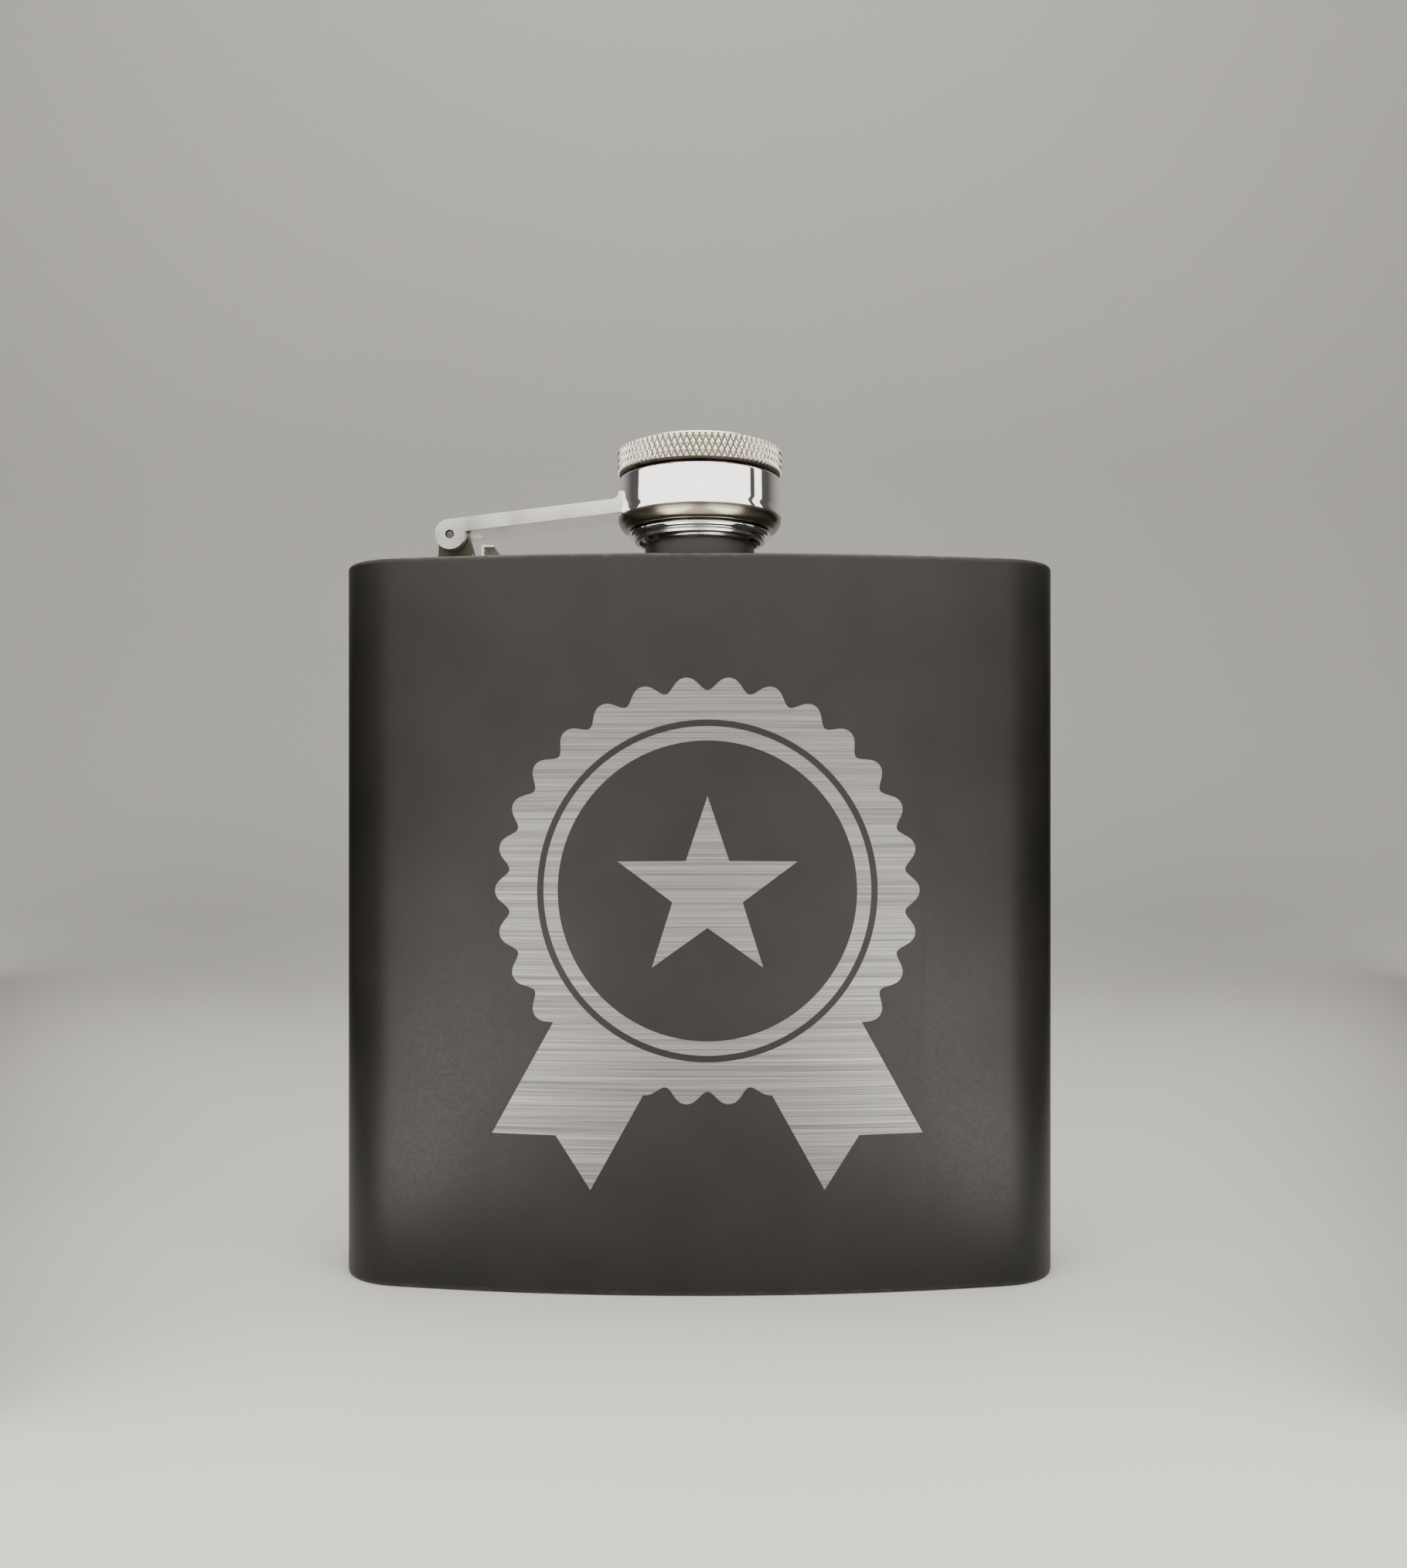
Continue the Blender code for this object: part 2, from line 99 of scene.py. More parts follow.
def meshPiece(name, points, faces, finish, sharp=32):
    # a mesh object with one finish
    mesh = bpy.data.meshes.new(name)
    mesh.from_pydata(np.asarray(points).tolist(), [], [tuple(face) for face in faces])
    mesh.validate()
    piece = bpy.data.objects.new(name, mesh)
    bpy.context.scene.collection.objects.link(piece)
    mesh.materials.append(finish)
    shaded(mesh, sharp)
    return piece


def turnedPiece(name, profile, steps, finish, rule=None, solid=False, sharp=32):
    # x = r cos a, y = r sin a, z = plate top + height: a (radius, height) profile carried round the neck's
    # axis; rule gives a knurl's or thread's radius from radius, angle and height; solid closes both ends flat
    profile = np.array(profile)
    angles = np.linspace(0, 2 * math.pi, steps, endpoint=False)[None, :]
    radii = np.repeat(profile[:, :1], steps, axis=1)
    heights = np.repeat(profile[:, 1:], steps, axis=1)
    if rule:
        radii = rule(radii, angles, heights)
    points = np.stack((neckAxis[0] + radii * np.cos(angles), neckAxis[1] + radii * np.sin(angles),
                       plateTop + heights), axis=-1).reshape(-1, 3)
    faces = closedFaces(len(profile), steps) if solid else gridFaces(len(profile), steps, True)
    return meshPiece(name, points, faces, finish, sharp)


def applied(piece):
    # the piece's modifiers made part of its mesh, and the cutters that they used removed
    cutters = [modifier.object for modifier in piece.modifiers if modifier.type == "BOOLEAN"]
    bpy.context.view_layer.update()
    evaluated = piece.evaluated_get(bpy.context.evaluated_depsgraph_get())
    mesh = bpy.data.meshes.new_from_object(evaluated)
    piece.modifiers.clear()
    piece.data = mesh
    for cutter in cutters:
        bpy.data.objects.remove(cutter, do_unlink=True)
    return piece


def cut(piece, cutter, operation="DIFFERENCE"):
    # a Boolean added to the piece, to be made real by applied
    modifier = piece.modifiers.new(operation, "BOOLEAN")
    modifier.operation = operation
    modifier.solver = "EXACT"
    modifier.object = cutter


def softened(piece, width, segments=3):
    # every edge sharper than 30 degrees rounded to a small radius, with the flats' shading kept even
    mesh = bmesh.new()
    mesh.from_mesh(piece.data)
    bmesh.ops.remove_doubles(mesh, verts=mesh.verts, dist=1e-6)
    bmesh.ops.dissolve_limit(mesh, angle_limit=math.radians(1), verts=mesh.verts, edges=mesh.edges)
    mesh.to_mesh(piece.data)
    mesh.free()
    modifier = piece.modifiers.new("Round", "BEVEL")
    modifier.width = width
    modifier.segments = segments
    modifier.limit_method = "ANGLE"
    modifier.angle_limit = math.radians(30)
    applied(piece)
    shaded(piece.data)
    weighted = piece.modifiers.new("Even", "WEIGHTED_NORMAL")
    weighted.keep_sharp = True


def extrudedPiece(name, outline, width, finish):
    # an (x, z) outline, anticlockwise, pulled to a width along Y about the neck's plane
    outline = np.array(outline)
    count = len(outline)
    near = np.column_stack((outline[:, 0], np.full(count, neckAxis[1] - width / 2), outline[:, 1]))
    far = near + np.array((0, width, 0))
    here = np.arange(count)
    after = (here + 1) % count
    sides = np.column_stack((after, here, count + here, count + after)).tolist()
    faces = sides + [list(range(count)), list(range(count, 2 * count))[::-1]]
    return meshPiece(name, np.vstack((near, far)), faces, finish)


def finished(piece, body, slot, *nodes):
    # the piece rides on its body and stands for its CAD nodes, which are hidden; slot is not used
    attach(piece, body)
    if nodes:
        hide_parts(*nodes)


def newMaterial(name, color, roughness, metallic, **sockets):
    # a Principled material; a socket's name is given with _ for each space
    result = bpy.data.materials.new(name)
    result.use_nodes = True
    shader = result.node_tree.nodes["Principled BSDF"]
    shader.inputs["Base Color"].default_value = (*color, 1)
    shader.inputs["Roughness"].default_value = roughness
    shader.inputs["Metallic"].default_value = metallic
    for socket, value in sockets.items():
        shader.inputs[socket.replace("_", " ")].default_value = value
    return result, result.node_tree, shader


def addNode(tree, kind, **values):
    # a node with its sockets and properties set by name
    node = tree.nodes.new(kind)
    for name, value in values.items():
        if name in node.inputs:
            node.inputs[name].default_value = value
        else:
            setattr(node, name, value)
    return node


def noise(tree, scale, detail=3.0, stretch=(1, 1, 1), seed=(0, 0, 0)):
    # noise on Object coordinates, in features per metre, drawn out along the axes with a small stretch
    place = addNode(tree, "ShaderNodeTexCoord")
    mapping = addNode(tree, "ShaderNodeMapping")
    mapping.inputs["Scale"].default_value = stretch
    mapping.inputs["Location"].default_value = seed
    grain = addNode(tree, "ShaderNodeTexNoise", Scale=scale, Detail=detail)
    tree.links.new(place.outputs["Object"], mapping.inputs["Vector"])
    tree.links.new(mapping.outputs["Vector"], grain.inputs["Vector"])
    return grain.outputs["Fac"]


def spread(tree, value, low, high, toLow, toHigh):
    # a value between low and high carried over to another range, and held at its ends
    node = addNode(tree, "ShaderNodeMapRange")
    for name, number in (("From Min", low), ("From Max", high), ("To Min", toLow), ("To Max", toHigh)):
        node.inputs[name].default_value = number
    tree.links.new(value, node.inputs["Value"])
    return node.outputs["Result"]


def feed(tree, node, *pairs):
    # the node's numbered sockets each given a number, a colour or another node's output
    for index, value in pairs:
        if isinstance(value, tuple):
            node.inputs[index].default_value = (*value, 1)
        elif isinstance(value, (int, float)):
            node.inputs[index].default_value = value
        else:
            tree.links.new(value, node.inputs[index])


def ramp(tree, value, *stops):
    node = addNode(tree, "ShaderNodeValToRGB")
    elements = node.color_ramp.elements
    while len(elements) < len(stops):
        elements.new(0.5)
    for element, (position, color) in zip(elements, stops):
        element.position = position
        element.color = (*color, 1)
    tree.links.new(value, node.inputs["Fac"])
    return node.outputs["Color"]


def mixColors(tree, factor, first, second):
    node = addNode(tree, "ShaderNodeMix", data_type="RGBA")
    feed(tree, node, (0, factor), (6, first), (7, second))
    return node.outputs[2]


def mixValues(tree, factor, first, second):
    node = addNode(tree, "ShaderNodeMix", data_type="FLOAT")
    feed(tree, node, (0, factor), (2, first), (3, second))
    return node.outputs[0]


def math2(tree, operation, first, second=0.0):
    node = addNode(tree, "ShaderNodeMath", operation=operation)
    feed(tree, node, (0, first), (1, second))
    return node.outputs[0]


def axisAt(tree, axis):
    # the place along one axis, in metres; Z is the height above the table
    place = addNode(tree, "ShaderNodeTexCoord")
    split = addNode(tree, "ShaderNodeSeparateXYZ")
    tree.links.new(place.outputs["Object"], split.inputs[0])
    return split.outputs[axis]


def dress(tree, shader, color, rough, *layers):
    # the finish's colour, its roughness and its bump layers, (height, depth in metres), one on another
    tree.links.new(color, shader.inputs["Base Color"])
    tree.links.new(rough, shader.inputs["Roughness"])
    normal = None
    for height, depth in layers:
        node = addNode(tree, "ShaderNodeBump", Strength=1.0, Distance=depth)
        tree.links.new(height, node.inputs["Height"])
        if normal:
            tree.links.new(normal, node.inputs["Normal"])
        normal = node.outputs["Normal"]
    tree.links.new(normal, shader.inputs["Normal"])


coatFinish = {
    "dark": (0.0105, 0.0098, 0.0086),
    "light": (0.0155, 0.0143, 0.0126),
    "paintedRimHighlight": (0.16, 0.155, 0.145),
    "roughness": (0.40, 0.50),
    "gloss": 0.33,
    "highlightBand": 0.0007,
}


def powderCoat(paintedRimHighlight):
    # matte black powder: warm mottling and a fine peel, and, when asked for, a painted highlight in patches
    # along the wrapped body's two rims
    result, tree, shader = newMaterial("powderCoat", coatFinish["dark"], 0.45, 0.0,
                                       Specular_IOR_Level=coatFinish["gloss"])
    mottle = noise(tree, 90, 4)
    peel = noise(tree, 2600, 2)
    grain = noise(tree, 9000, 2)
    base = ramp(tree, mottle, (0.35, coatFinish["dark"]), (0.7, coatFinish["light"]))
    # painted highlight: the coat made paler in patches along the top and bottom rims
    if paintedRimHighlight:
        height = axisAt(tree, "Z")
        middle, half = (wrapHigh.z + wrapLow.z) / 2, (wrapHigh.z - wrapLow.z) / 2
        fromMiddle = math2(tree, "ABSOLUTE", math2(tree, "SUBTRACT", height, middle))
        rim = spread(tree, fromMiddle, half - coatFinish["highlightBand"], half, 0, 1)
        highlightPatches = spread(tree, noise(tree, 700, 5, seed=(1, 5, 2)), 0.45, 0.75, 0.1, 0.4)
        base = mixColors(tree, math2(tree, "MULTIPLY", rim, highlightPatches), base, coatFinish["paintedRimHighlight"])
    rough = spread(tree, peel, 0.3, 0.7, *coatFinish["roughness"])
    dress(tree, shader, base, rough, (peel, 0.000010), (grain, 0.000006))
    return result


engravedFinish = {
    "dark": (0.12, 0.12, 0.118),
    "middle": (0.215, 0.213, 0.208),
    "light": (0.31, 0.307, 0.30),
    "metal": 0.6,
    "roughness": (0.5, 0.34),
    "lineDepth": 0.000006,
}


def engravedSteel():
    # bare steel under the coat, with fine brush lines that run across the flask
    finish = engravedFinish
    result, tree, shader = newMaterial("engravedSteel", finish["middle"], 0.42, finish["metal"])
    fine = noise(tree, 100, 4, stretch=(0.35, 0.35, 75))
    coarse = noise(tree, 100, 3, stretch=(0.12, 0.12, 14), seed=(2, 0, 5))
    lines = math2(tree, "ADD", math2(tree, "MULTIPLY", fine, 0.7), math2(tree, "MULTIPLY", coarse, 0.3))
    color = ramp(tree, lines, (0.36, finish["dark"]), (0.5, finish["middle"]), (0.64, finish["light"]))
    rough = spread(tree, lines, 0.35, 0.65, *finish["roughness"])
    dress(tree, shader, color, rough, (fine, finish["lineDepth"]))
    return result


# each polished steel's colour, and its roughness where it is smooth and where it is dull
steelFinishes = {
    "turnedSteel": ((0.66, 0.65, 0.61), 0.18, 0.34),
    "brightSteel": ((0.84, 0.83, 0.80), 0.05, 0.14),
    "strapSteel": ((0.92, 0.91, 0.88), 0.14, 0.24),
    "pinSteel": ((0.12, 0.112, 0.10), 0.26, 0.40),
}


def polishedSteel(name):
    # turned and polished steel: faint rings round the cap's axis, and soft smudges in the polish
    color, smooth, dull = steelFinishes[name]
    result, tree, shader = newMaterial(name, color, smooth, 1.0)
    rings = noise(tree, 100, 2, stretch=(0.3, 0.3, 60))
    smudge = noise(tree, 260, 4, seed=(4, 2, 1))
    rough = spread(tree, smudge, 0.4, 0.75, smooth, dull)
    tone = ramp(tree, smudge, (0.35, color), (0.8, tuple(part * 0.88 for part in color)))
    dress(tree, shader, tone, rough, (rings, 0.0000012))
    return result


collarFinish = {
    "band": (0.95, 0.94, 0.92),
    "polish": (0.04, 0.10),
    "lowerFace": ((0.34, 0.30, 0.235), (0.26, 0.235, 0.19)),
    "satin": 0.26,
}


def collarSteel():
    # mirror polish on the band; the lower face that curves in is satin and browner
    band, (light, dark) = collarFinish["band"], collarFinish["lowerFace"]
    result, tree, shader = newMaterial("collarSteel", band, 0.05, 1.0)
    lip = plateTop + collarShape["lip"]
    satin = spread(tree, axisAt(tree, "Z"), lip - 0.0001, lip + 0.00002, 1, 0)
    smudge = noise(tree, 300, 4, seed=(4, 2, 1))
    brown = ramp(tree, smudge, (0.35, light), (0.7, dark))
    color = mixColors(tree, satin, band, brown)
    polish = spread(tree, smudge, 0.4, 0.8, *collarFinish["polish"])
    rough = mixValues(tree, satin, polish, collarFinish["satin"])
    dress(tree, shader, color, rough, (noise(tree, 100, 2, stretch=(0.3, 0.3, 60)), 0.0000012))
    return result


hingeFinish = {
    "bare": (0.72, 0.69, 0.62),
    "paintedShade": (0.075, 0.066, 0.052),
    "roughness": (0.2, 0.32),
    "shadeRoughness": 0.42,
    "shadeShift": (-0.0003, 0, -0.0008),
    "shadeReach": (0.0033, 0.0042),
    "wander": 0.0008,
}


def hingeSteel():
    # bare satin steel, with painted shade round the pin and in the corner under the knuckle, bright at the
    # tab
    finish = hingeFinish
    result, tree, shader = newMaterial("hingeSteel", finish["bare"], 0.3, 1.0)
    place = addNode(tree, "ShaderNodeTexCoord")
    reach = addNode(tree, "ShaderNodeVectorMath", operation="DISTANCE")
    reach.inputs[1].default_value = pinCentre + finish["shadeShift"]
    tree.links.new(place.outputs["Object"], reach.inputs[0])
    patch = noise(tree, 500, 4)
    wander = math2(tree, "MULTIPLY", math2(tree, "SUBTRACT", patch, 0.5), finish["wander"])
    # painted shade: darker and duller within a ragged distance of the pin, reaching down under the knuckle
    shadeMask = spread(tree, math2(tree, "ADD", reach.outputs["Value"], wander), *finish["shadeReach"], 1, 0)
    color = mixColors(tree, shadeMask, finish["bare"], finish["paintedShade"])
    clean = spread(tree, patch, 0.3, 0.7, *finish["roughness"])
    rough = mixValues(tree, shadeMask, clean, finish["shadeRoughness"])
    dress(tree, shader, color, rough, (noise(tree, 2500, 3), 0.000004))
    return result


knurlFinish = {
    "tip": (0.88, 0.84, 0.74),
    "rubbed": (0.52, 0.48, 0.40),
    "grooveDarkening": (0.06, 0.048, 0.034),
    "roughness": (0.16, 0.3),
    "grooveRoughness": 0.5,
    "grooveDarkDepth": 0.3,
}


def knurledSteel():
    # rolled steel, brighter on the diamonds' tips and darker and duller in the grooves, told by the distance
    # from the neck's axis
    finish = knurlFinish
    result, tree, shader = newMaterial("knurledSteel", finish["tip"], 0.25, 1.0)
    place = addNode(tree, "ShaderNodeTexCoord")
    centred = addNode(tree, "ShaderNodeVectorMath", operation="SUBTRACT")
    centred.inputs[1].default_value = (neckAxis[0], neckAxis[1], 0)
    flat = addNode(tree, "ShaderNodeVectorMath", operation="MULTIPLY")
    flat.inputs[1].default_value = (1, 1, 0)
    length = addNode(tree, "ShaderNodeVectorMath", operation="LENGTH")
    tree.links.new(place.outputs["Object"], centred.inputs[0])
    tree.links.new(centred.outputs[0], flat.inputs[0])
    tree.links.new(flat.outputs[0], length.inputs[0])
    inGroove = spread(tree, length.outputs["Value"], headShape["radius"] - headShape["knurlDepth"],
                      headShape["radius"] - headShape["knurlDepth"] * finish["grooveDarkDepth"], 1, 0)
    below = spread(tree, axisAt(tree, "Z"), plateTop + headShape["top"] - headShape["round"],
                   plateTop + headShape["top"] - headShape["round"] * 0.8, 1, 0)
    grooveDarkening = math2(tree, "MULTIPLY", inGroove, below)
    color = mixColors(tree, grooveDarkening, finish["tip"], finish["grooveDarkening"])
    patch = noise(tree, 300, 4)
    rubbed = spread(tree, patch, 0.45, 0.75, 0, 0.3)
    color = mixColors(tree, rubbed, color, finish["rubbed"])
    clean = spread(tree, patch, 0.35, 0.7, *finish["roughness"])
    rough = mixValues(tree, grooveDarkening, clean, finish["grooveRoughness"])
    dress(tree, shader, color, rough, (noise(tree, 4000, 2), 0.000003))
    return result


neckFinish = {
    "bright": (0.62, 0.60, 0.56),
    "dull": (0.48, 0.46, 0.42),
    "roughness": (0.2, 0.34),
    "coatRoughness": (0.4, 0.5),
    "ragged": 0.0003,
    "edge": 0.00004,
}


def neckSteel():
    # coated up to the shoulder, with a slightly ragged edge, and bare turned steel on the thread and the rim
    finish = neckFinish
    result, tree, shader = newMaterial("neckSteel", finish["bright"], 0.3, 1.0)
    top, edge = plateTop + neckShape["coatTop"], finish["edge"]
    ragged = math2(tree, "MULTIPLY", math2(tree, "SUBTRACT", noise(tree, 900, 3), 0.5), finish["ragged"])
    bare = spread(tree, math2(tree, "ADD", axisAt(tree, "Z"), ragged), top - edge, top + edge, 0, 1)
    mottle = noise(tree, 400, 4)
    coat = ramp(tree, mottle, (0.35, coatFinish["dark"]), (0.7, coatFinish["light"]))
    steel = ramp(tree, mottle, (0.3, finish["bright"]), (0.8, finish["dull"]))
    color = mixColors(tree, bare, coat, steel)
    tree.links.new(bare, shader.inputs["Metallic"])
    coated = spread(tree, mottle, 0.3, 0.7, *finish["coatRoughness"])
    turned = spread(tree, mottle, 0.3, 0.7, *finish["roughness"])
    rough = mixValues(tree, bare, coated, turned)
    dress(tree, shader, color, rough, (noise(tree, 3000, 2), 0.000006))
    return result


rubberFinish = {"dark": (0.33, 0.33, 0.34), "light": (0.44, 0.44, 0.45), "roughness": (0.48, 0.62)}


def siliconeRubber():
    # soft grey silicone with a faint moulding grain and rubbed patches
    dark, light = rubberFinish["dark"], rubberFinish["light"]
    result, tree, shader = newMaterial("siliconeRubber", dark, 0.55, 0.0)
    patch = noise(tree, 350, 4)
    color = ramp(tree, patch, (0.3, dark), (0.75, light))
    rough = spread(tree, patch, 0.3, 0.7, *rubberFinish["roughness"])
    dress(tree, shader, color, rough, (noise(tree, 5000, 2), 0.000008))
    return result


def kidney(inset):
    # the outline, drawn in by a distance: a front arc, two corner arcs with a straight between them, the back
    # arc, and the other end, anticlockwise from the left end of the front; every arc keeps its own centre
    shape = bodyShape
    corner = shape["cornerRadius"]
    down, tilt = -math.pi / 2, cornerAngle

    def cornerArc(reach, side, start, stop):
        bearing = down + side * tilt
        centre = bendCentre + reach * np.array((math.cos(bearing), math.sin(bearing)))
        return arcPoints(corner - inset, start, stop, shape["cornerSteps"], centre)

    outer, inner = shape["frontRadius"] - corner, backRadius + corner
    return np.vstack((
        arcPoints(shape["frontRadius"] - inset, down - tilt, down + tilt, shape["frontSteps"], bendCentre),
        cornerArc(outer, 1, down + tilt, tilt)[1:],
        cornerArc(inner, 1, tilt, math.pi / 2 + tilt),
        arcPoints(backRadius + inset, down + tilt, down - tilt, shape["frontSteps"], bendCentre)[1:],
        cornerArc(inner, -1, math.pi / 2 - tilt, math.pi - tilt)[1:],
        cornerArc(outer, -1, math.pi - tilt, 1.5 * math.pi - tilt)[:-1],
    ))


rosette = {
    "centre": (0.001, 0.0504),
    "radius": 0.0259,
    "scallop": 0.00085,
    "lobes": 30,
    "fullness": 0.12,
    "lobeSteps": 16,
    "ringOuter": 0.0213,
    "ringInner": 0.0205,
    "discRadius": 0.0187,
    "starRadius": 0.0118,
    "starWaist": 0.0046,
    "tailTilt": math.radians(29),
    "tailWidth": 0.0142,
    "tailOffset": 0.0018,
    "tailLength": 0.0397,
    "tailNotch": 0.0038,
    "depth": 0.00005,
    "sheet": 0.00001,
}


def circleLoop(radius, steps=120):
    # a circle about the rosette's centre
    return np.array(rosette["centre"]) + arcPoints(radius, 0, 2 * math.pi, steps)[:-1]


def rosetteLoop(radii, angles):
    # points at their own radius and angle about the rosette's centre
    return np.array(rosette["centre"]) + radii[:, None] * np.column_stack((np.cos(angles), np.sin(angles)))


def scallopedLoop():
    # radius = mean + height * (wave - a little of its second harmonic), so that tips are fuller than valleys
    angles = np.linspace(0, 2 * math.pi, rosette["lobeSteps"] * rosette["lobes"], endpoint=False)
    phase = rosette["lobes"] * angles
    wave = np.cos(phase) - rosette["fullness"] * np.cos(2 * phase)
    return rosetteLoop(rosette["radius"] + rosette["scallop"] * wave, angles)


def starLoop():
    # ten points on two circles in turn, the first one straight up
    radii = np.where(np.arange(10) % 2 == 0, rosette["starRadius"], rosette["starWaist"])
    return rosetteLoop(radii, math.pi / 2 + np.arange(10) * math.pi / 5)


def tailLoop(side):
    # a straight ribbon that hangs from the centre at a tilt, with a V cut in its end
    tilt = rosette["tailTilt"]
    along = np.array((side * math.sin(tilt), -math.cos(tilt)))
    across = np.array((side * math.cos(tilt), math.sin(tilt)))
    half, offset = rosette["tailWidth"] / 2, rosette["tailOffset"]
    start, end = rosette["discRadius"] * 0.5, rosette["tailLength"]
    corners = ((start, offset - half), (end, offset - half), (end - rosette["tailNotch"], offset),
               (end, offset + half), (start, offset + half))
    loop = np.array([np.array(rosette["centre"]) + a * along + b * across for a, b in corners])
    return loop if side > 0 else loop[::-1]


def engravedPatch(columns, low, high):
    # the front panel cut by the rosette's outlines: a constrained triangulation in (x, z), with one upright
    # line per column of the outline, so that every triangle lies on the curved face. Loops 1 to 3 are the
    # rosette and its tails, 4 and 5 the ring's circles, 6 the disc and 7 the star: engraved are the rosette
    # and tails outside the ring, the band between the ring and the disc, and the star
    panel = np.vstack((np.column_stack((columns, np.full(len(columns), low))),
                       np.column_stack((columns[::-1], np.full(len(columns), high)))))
    loops = [panel, scallopedLoop(), tailLoop(-1), tailLoop(1), circleLoop(rosette["ringOuter"]),
             circleLoop(rosette["ringInner"]), circleLoop(rosette["discRadius"]), starLoop()]
    starts = np.cumsum([0] + [len(loop) for loop in loops])
    faces = [list(range(first, first + len(loop))) for first, loop in zip(starts, loops)]
    count = len(columns)
    edges = [(column, 2 * count - 1 - column) for column in range(1, count - 1)]
    points, _, triangles, _, _, origins = geometry.delaunay_2d_cdt(
        [Vector(point) for point in np.vstack(loops)], edges, faces, 0, 1e-7)
    inside = [set(origin) for origin in origins]
    engraved = np.array([bool({1, 2, 3} & found and 4 not in found or 5 in found and 6 not in found
                              or 7 in found) for found in inside])
    kept = np.array([0 in found for found in inside])
    points, triangles = np.array(points), np.array(triangles)
    return points, triangles[kept], engraved[kept]


def onFront(flat, inset):
    # (x, z) put on the front face, or at a depth below it along the bend's radius
    bearing = np.arcsin(flat[:, 0] / bodyShape["frontRadius"])
    radius = bodyShape["frontRadius"] - inset
    return np.column_stack((radius * np.sin(bearing), bendCentre[1] - radius * np.cos(bearing), flat[:, 1]))


def borderEdges(triangles):
    # the directed edges whose reverse no triangle has: each edge is one number, start * base + end
    edges = np.vstack((triangles[:, [0, 1]], triangles[:, [1, 2]], triangles[:, [2, 0]]))
    base = edges.max() + 1
    return edges[~np.isin(edges @ (base, 1), edges @ (1, base))]


def merged(piece):
    # points that meet made one, and the shading set again
    mesh = bmesh.new()
    mesh.from_mesh(piece.data)
    bmesh.ops.remove_doubles(mesh, verts=mesh.verts, dist=2e-7)
    mesh.to_mesh(piece.data)
    mesh.free()
    shaded(piece.data)
    return piece


def makeBody(coat, steel):
    # the wall's section, two round rims and a plain inside, carried round the outline; the front panel is the
    # engraved patch, whose engraved part lies a little deeper and has its own thin sheet of bare steel
    shape = bodyShape
    rim, wall, height = shape["rimRound"], shape["wall"], wrapHigh.z
    lowRim = [(rim - x, rim + z) for x, z in arcPoints(rim, -math.pi / 2, 0, shape["rimSteps"])]
    highRim = [(rim - x, height - rim + z) for x, z in arcPoints(rim, 0, math.pi / 2, shape["rimSteps"])]
    profile = [(wall, 0), *lowRim, *highRim, (wall, height)]
    loops = [np.column_stack((kidney(inset), np.full(len(kidney(0)), z))) for inset, z in profile]
    columns = len(loops[0])
    faces = gridFaces(len(loops), columns, True)
    panelRow = len(lowRim)
    here = np.arange(len(faces))
    onPanel = (here // columns == panelRow) & (here % columns < shape["frontSteps"])
    faces = faces[~onPanel].tolist()
    points = np.vstack(loops)

    flat, triangles, engraved = engravedPatch(kidney(0)[:shape["frontSteps"] + 1, 0], rim, height - rim)
    surface = onFront(flat, 0)
    floor = onFront(flat, rosette["depth"])
    first, second = len(points), len(points) + len(surface)
    edge = borderEdges(triangles[engraved])
    walls = np.column_stack((edge[:, 1] + first, edge[:, 0] + first,
                             edge[:, 0] + second, edge[:, 1] + second))
    faces += (triangles[~engraved] + first).tolist() + (triangles[engraved] + second).tolist()
    faces += walls.tolist()
    body = meshPiece("flask_body", np.vstack((points, surface, floor)), faces, coat)
    finished(merged(body), "flask", "black_coat", "body_wrap")

    top = onFront(flat, rosette["depth"] - rosette["sheet"])
    count, sheet = len(flat), triangles[engraved]
    sides = np.column_stack((edge[:, 0], edge[:, 0] + count, edge[:, 1] + count, edge[:, 1]))
    faces = sheet.tolist() + (sheet[:, ::-1] + count).tolist() + sides.tolist()
    mark = meshPiece("engraved_rosette", np.vstack((top, floor)), faces, steel)
    finished(merged(mark), "flask", "bare_steel")
    print("body", len(body.data.polygons), "mark", len(mark.data.polygons))


plateShape = {
    "gap": 0.00006,
    "thickness": 0.0008,
    "edgeRound": 0.00015,
    "edgeBulge": 0.3,
    "hole": 0.0073,
    "core": 0.02,
}


def makePlates(coat):
    # each plate is carried round the outline: its edge, a small round, and its face, whose rings lie part of
    # the way from the edge to the neck's hole, or to a small core that is closed flat
    gap = bodyShape["wall"] + plateShape["gap"]
    thick, small = plateShape["thickness"], plateShape["edgeRound"]
    bulge, core = small * plateShape["edgeBulge"], plateShape["core"]
    outline = kidney(gap)
    bearing = np.arctan2(outline[:, 1] - neckAxis[1], outline[:, 0] - neckAxis[0])
    hole = neckAxis + plateShape["hole"] * np.column_stack((np.cos(bearing), np.sin(bearing)))

    def level(edge, z):
        return np.column_stack((edge, np.full(len(edge), z)))

    rings = [level(kidney(gap), plateTop - thick), level(kidney(gap), plateTop - small),
             level(kidney(gap + bulge), plateTop - bulge), level(kidney(gap + small), plateTop)]
    rings += [level(kidney(gap + small) * (1 - t) + hole * t, plateTop) for t in (0.25, 0.5, 0.75)]
    rings += [level(hole, plateTop), level(hole, plateTop - thick)]
    top = meshPiece("flask_top", np.vstack(rings), gridFaces(len(rings), len(outline), True), coat)
    finished(top, "flask", "black_coat", "top_plate")

    rings = [level(neckAxis + (kidney(gap) - neckAxis) * core, thick), level(kidney(gap), thick),
             level(kidney(gap), small), level(kidney(gap + bulge), bulge), level(kidney(gap + small), 0)]
    rings += [level(neckAxis + (kidney(gap + small) - neckAxis) * t, 0) for t in (0.6, 0.3, core)]
    faces = [face[::-1] for face in closedFaces(len(rings), len(outline))]
    base = meshPiece("flask_base", np.vstack(rings), faces, coat)
    finished(base, "flask", "black_coat", "base_plate")


